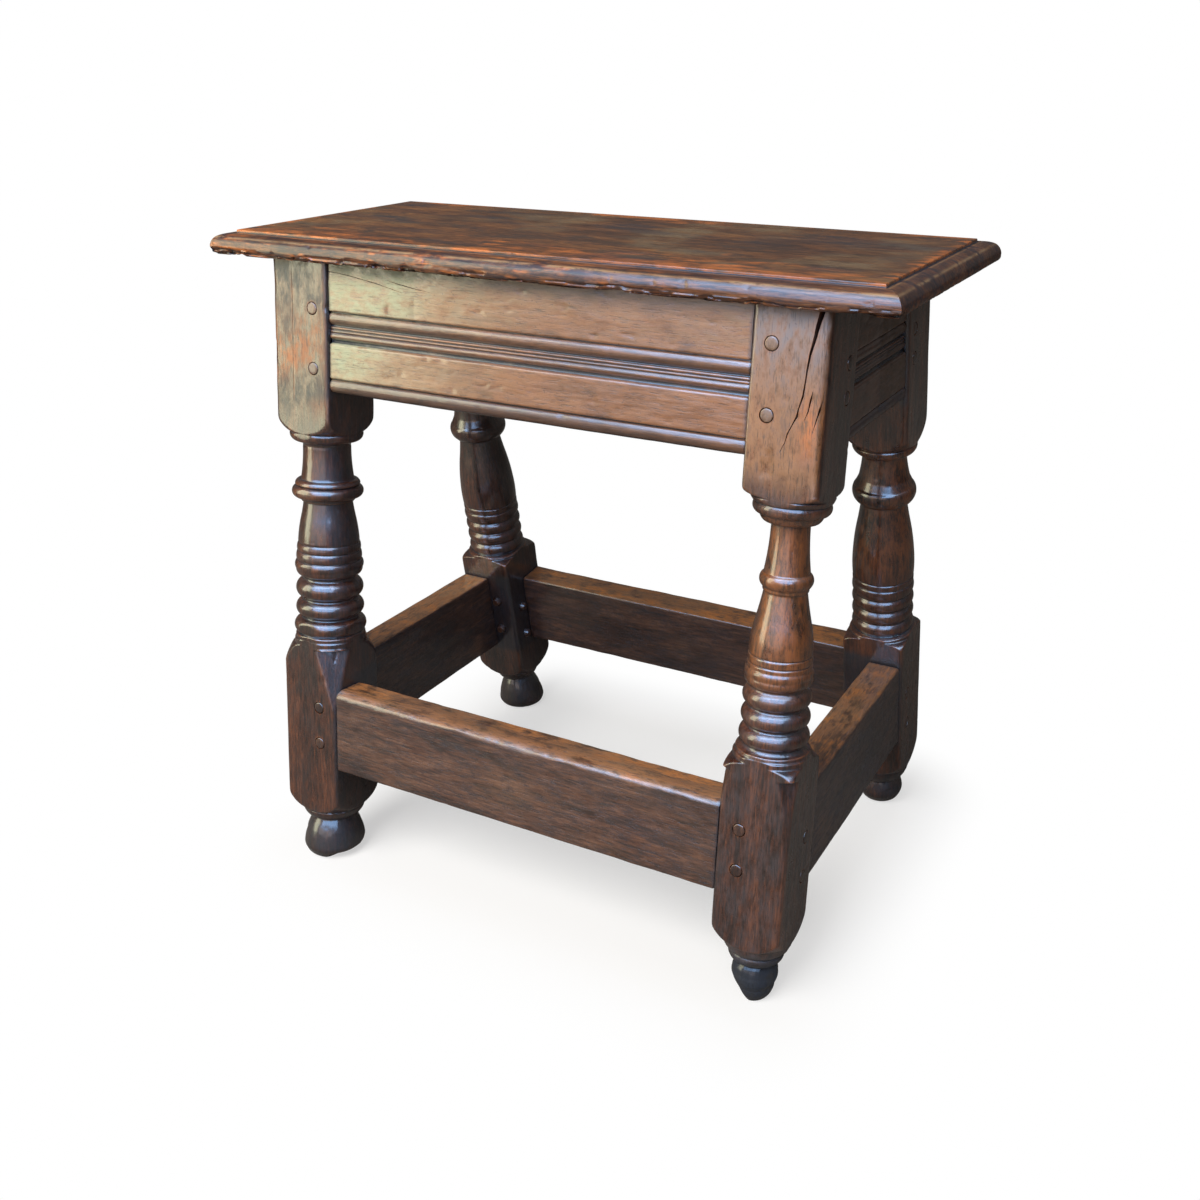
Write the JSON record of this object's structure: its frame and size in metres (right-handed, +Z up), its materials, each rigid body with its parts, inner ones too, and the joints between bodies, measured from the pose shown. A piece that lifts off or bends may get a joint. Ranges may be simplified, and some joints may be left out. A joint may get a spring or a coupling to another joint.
{
  "type": "joint stool",
  "caption": "Oak joint stool: a moulded oblong seat on splayed turned legs, tied by moulded aprons and plain stretchers with pegged mortise and tenon joints.",
  "frame": {"origin": "on the floor under the middle of the seat", "axes": "+X along the seat to the right seen from the front, the front faces -Y, +Z up"},
  "size_m": [0.5618, 0.3415, 0.53],
  "materials": {
    "board_oak": "worn waxed oak, mid brown, satin",
    "leg_oak": "dark waxed oak, polished on the turnings",
    "apron_oak": "waxed oak, yellow brown, satin",
    "stretcher_oak": "dark red-brown waxed oak, rubbed on the upper edge",
    "peg_oak": "dark riven oak, rubbed heads"
  },
  "bodies": {
    "root": {"top_board": "board_oak", "front_left_leg": "leg_oak", "front_right_leg": "leg_oak", "back_left_leg": "leg_oak", "back_right_leg": "leg_oak", "front_apron": "apron_oak", "back_apron": "apron_oak", "left_apron": "apron_oak", "right_apron": "apron_oak", "front_stretcher": "stretcher_oak", "back_stretcher": "stretcher_oak", "left_stretcher": "stretcher_oak", "right_stretcher": "stretcher_oak", "front_apron_pegs": "peg_oak", "back_apron_pegs": "peg_oak", "left_apron_pegs": "peg_oak", "right_apron_pegs": "peg_oak", "front_stretcher_pegs": "peg_oak", "back_stretcher_pegs": "peg_oak", "left_stretcher_pegs": "peg_oak", "right_stretcher_pegs": "peg_oak", "top_pegs": "peg_oak"}
  },
  "joints": []
}
